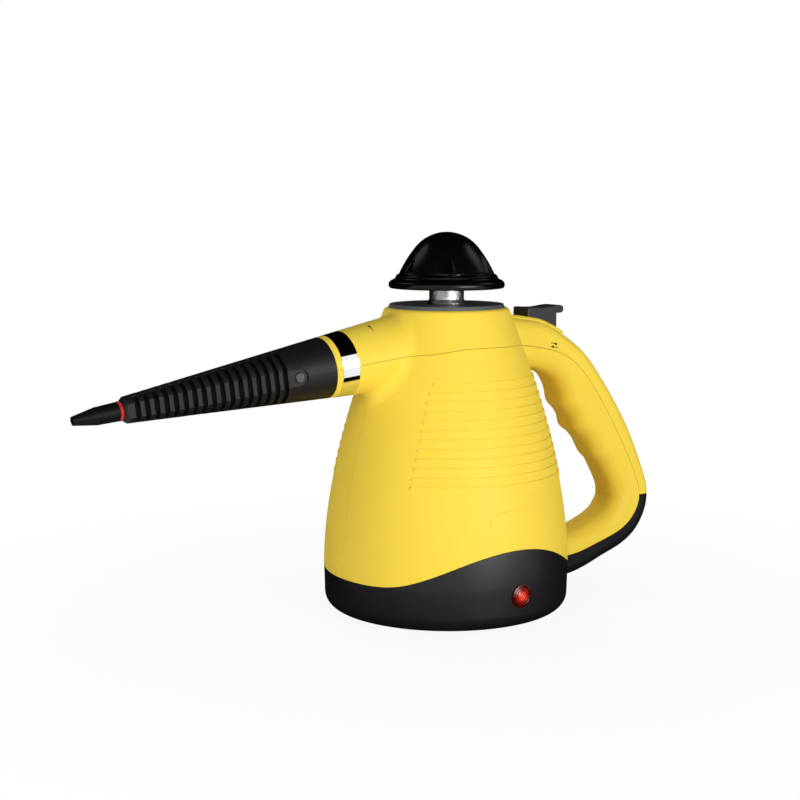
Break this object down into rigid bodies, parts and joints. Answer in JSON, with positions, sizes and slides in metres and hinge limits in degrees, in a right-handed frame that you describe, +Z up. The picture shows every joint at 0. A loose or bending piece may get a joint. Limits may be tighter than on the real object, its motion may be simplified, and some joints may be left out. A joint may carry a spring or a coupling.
{
  "type": "handheld steam cleaner",
  "caption": "Handheld steam cleaner with a bell-shaped body, black base cup, closed loop handle with thumb trigger, screw cap on top and a tapered ribbed nozzle.",
  "frame": {"origin": "centre of the base's underside, on the body's axis", "axes": "+Z up along the body's axis, -X towards the nozzle, +X towards the handle, Y = 0 is the plane of symmetry"},
  "size_m": [0.4003, 0.1516, 0.2288],
  "materials": {
    "yellow_shell": "satin, moulded",
    "black_base": "satin, moulded",
    "black_grip": "matt, moulded",
    "black_gloss": "polished",
    "black_tip": "matt, moulded",
    "trigger_black": "satin, moulded",
    "grey_collar": "satin",
    "chrome": "bright plated",
    "red_ring": "satin silicone",
    "red_lens": "clear red",
    "cast_alloy": "as cast",
    "machined_alloy": "machined",
    "brass": "machined",
    "steel": "zinc plated",
    "copper_pipe": "drawn",
    "white_ceramic": "matt",
    "seal_rubber": "matt",
    "lamp_glass": "clear",
    "inner_plastic": "matt"
  },
  "bodies": {
    "housing": {"top_cover": "yellow_shell", "body_left": "yellow_shell", "body_right": "yellow_shell", "base_cup": "black_base", "base_screws": "steel", "cover_screws": "steel", "collar_ring": "grey_collar", "boiler_lower": "cast_alloy", "boiler_upper": "cast_alloy", "filler_neck": "machined_alloy", "boiler_gasket": "seal_rubber", "boiler_screws": "steel", "heating_element": "steel", "thermostat": "white_ceramic", "thermal_fuse": "white_ceramic", "indicator_lens": "red_lens", "indicator_lamp": "lamp_glass", "cord_gland": "black_grip", "terminal_block": "white_ceramic", "valve_bracket": "steel", "steam_valve_body": "brass", "inlet_tube": "copper_pipe", "outlet_tube": "copper_pipe", "spout_pipe": "copper_pipe", "spout_holder": "inner_plastic", "chrome_band": "chrome"},
    "cap_carrier": {"cap_seal": "seal_rubber"},
    "cap_screw": {"cap_insert": "brass", "cap_relief_valve": "steel", "cap_driver": "inner_plastic", "cap_spring": "steel"},
    "cap_knob": {"cap_knob": "black_gloss"},
    "trigger_carriage": {"trigger_carriage": "inner_plastic", "trigger_spring": "steel"},
    "trigger": {"trigger": "trigger_black"},
    "valve_stem": {"valve_stem": "brass"},
    "bayonet": {"bayonet_ring": "inner_plastic"},
    "nozzle": {"nozzle_sleeve": "black_grip", "nozzle_pipe": "brass", "tip_oring": "red_ring"},
    "release_button": {"release_button": "trigger_black"},
    "tip": {"tip_nozzle": "black_tip"}
  },
  "joints": [
    {"name": "cap_lift", "type": "slide", "parent": "housing", "child": "cap_carrier", "axis": [0, 0, 1], "range_m": [0, 0.013]},
    {"name": "cap_turn", "type": "hinge", "parent": "cap_carrier", "child": "cap_screw", "pos_m": [0, 0, 0.1954], "axis": [0, 0, 1], "range_deg": [0, 1440]},
    {"name": "cap_press", "type": "slide", "parent": "cap_screw", "child": "cap_knob", "axis": [0, 0, -1], "range_m": [0, 0.0025], "stiffness_N_per_m": 1500, "springref_m": -0.002, "deforming": ["cap_spring"]},
    {"name": "lock_slide", "type": "slide", "parent": "housing", "child": "trigger_carriage", "axis": [1, 0, 0], "range_m": [0, 0.002]},
    {"name": "trigger_press", "type": "slide", "parent": "trigger_carriage", "child": "trigger", "axis": [0, 0, -1], "range_m": [0, 0.0035], "stiffness_N_per_m": 800, "springref_m": -0.002, "deforming": ["trigger_spring"]},
    {"name": "stem_slide", "type": "slide", "parent": "housing", "child": "valve_stem", "axis": [0, 0, -1], "range_m": [0, 0.0035]},
    {"name": "nozzle_twist", "type": "hinge", "parent": "housing", "child": "bayonet", "pos_m": [0, 0, 0.1626], "axis": [-0.9924, 0, -0.1227], "range_deg": [0, 40]},
    {"name": "nozzle_pull", "type": "slide", "parent": "bayonet", "child": "nozzle", "axis": [-0.9924, 0, -0.1227], "range_m": [0, 0.025]},
    {"name": "release_press", "type": "slide", "parent": "nozzle", "child": "release_button", "axis": [0.0843, 0.9964, 0.0104], "range_m": [0, 0.0015], "stiffness_N_per_m": 600, "springref_m": -0.001},
    {"name": "tip_pull", "type": "slide", "parent": "nozzle", "child": "tip", "axis": [-0.9924, 0, -0.1227], "range_m": [0, 0.01]}
  ],
  "couplings": [
    {"joint": "cap_turn", "follows": "cap_lift", "rad_per_m": 1933.3},
    {"joint": "stem_slide", "follows": "trigger_press", "ratio": 1}
  ]
}
